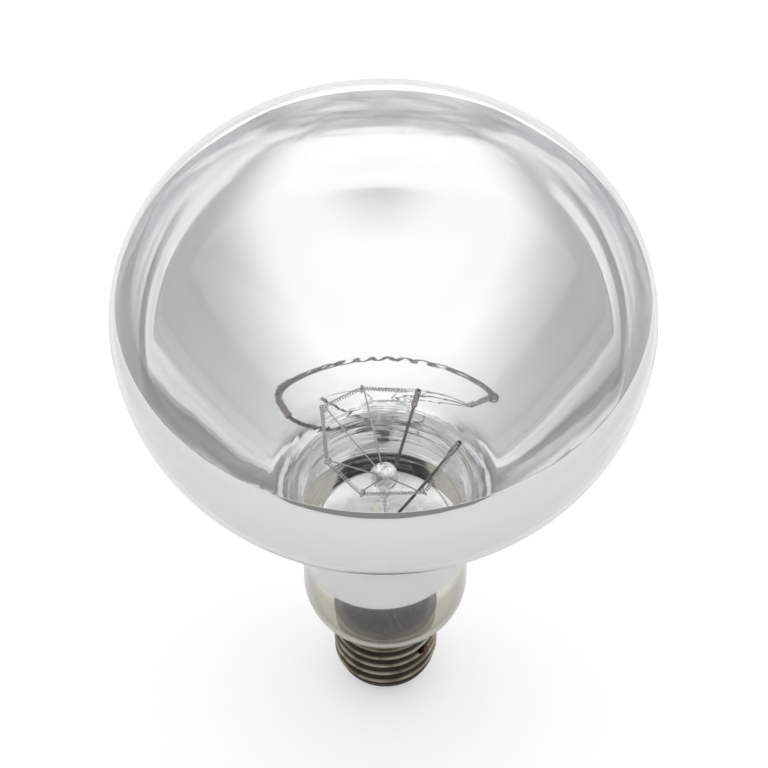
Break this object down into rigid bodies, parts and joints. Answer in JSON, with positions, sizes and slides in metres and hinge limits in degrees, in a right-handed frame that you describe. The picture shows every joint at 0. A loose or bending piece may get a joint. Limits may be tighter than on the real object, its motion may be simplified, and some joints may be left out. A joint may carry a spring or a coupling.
{
  "type": "heat lamp bulb",
  "caption": "Reflector heat lamp bulb: a clear domed face over a silvered bowl and neck, a coiled filament on thin supports inside, and a screw cap.",
  "frame": {"origin": "centre of the flat tip of the solder on the end contact, the lamp's lowest point", "axes": "+Z along the lamp's axis from the contact to the domed face; +X along the side on which the slit in the cap lies, -Y towards the picture's viewer"},
  "size_m": [0.125, 0.125, 0.181],
  "materials": {
    "clear_glass": "clear, polished",
    "silvering": "mirror",
    "nickel_plate": "satin, slightly tarnished",
    "side_solder_tin": "satin",
    "black_insulator": "gloss",
    "contact_metal": "satin",
    "solder_tin": "satin",
    "basing_cement": "matte",
    "stem_glass": "clear",
    "exhaust_glass": "clear",
    "rod_glass": "clear, pressed rough at the button",
    "shield_metal": "bright",
    "lead_nickel": "satin",
    "clamp_nickel": "satin",
    "tungsten": "satin",
    "support_molybdenum": "satin",
    "outer_lead_copper": "satin"
  },
  "bodies": {
    "root": {"glass_envelope": "clear_glass", "reflector_film": "silvering", "cap_shell": "nickel_plate", "side_solder": "side_solder_tin", "cap_insulator": "black_insulator", "centre_contact": "contact_metal", "contact_solder": "solder_tin", "cap_cement": "basing_cement", "stem": "stem_glass", "exhaust_tube": "exhaust_glass", "arbor_rod": "rod_glass", "heat_shield": "shield_metal", "lead_post_a": "lead_nickel", "lead_post_b": "lead_nickel", "lead_clamp_a": "clamp_nickel", "lead_clamp_b": "clamp_nickel", "filament": "tungsten", "contact_lead": "outer_lead_copper", "side_lead": "outer_lead_copper", "support_wire_1": "support_molybdenum", "support_wire_2": "support_molybdenum", "support_wire_3": "support_molybdenum", "support_wire_4": "support_molybdenum", "support_wire_5": "support_molybdenum"}
  },
  "joints": []
}
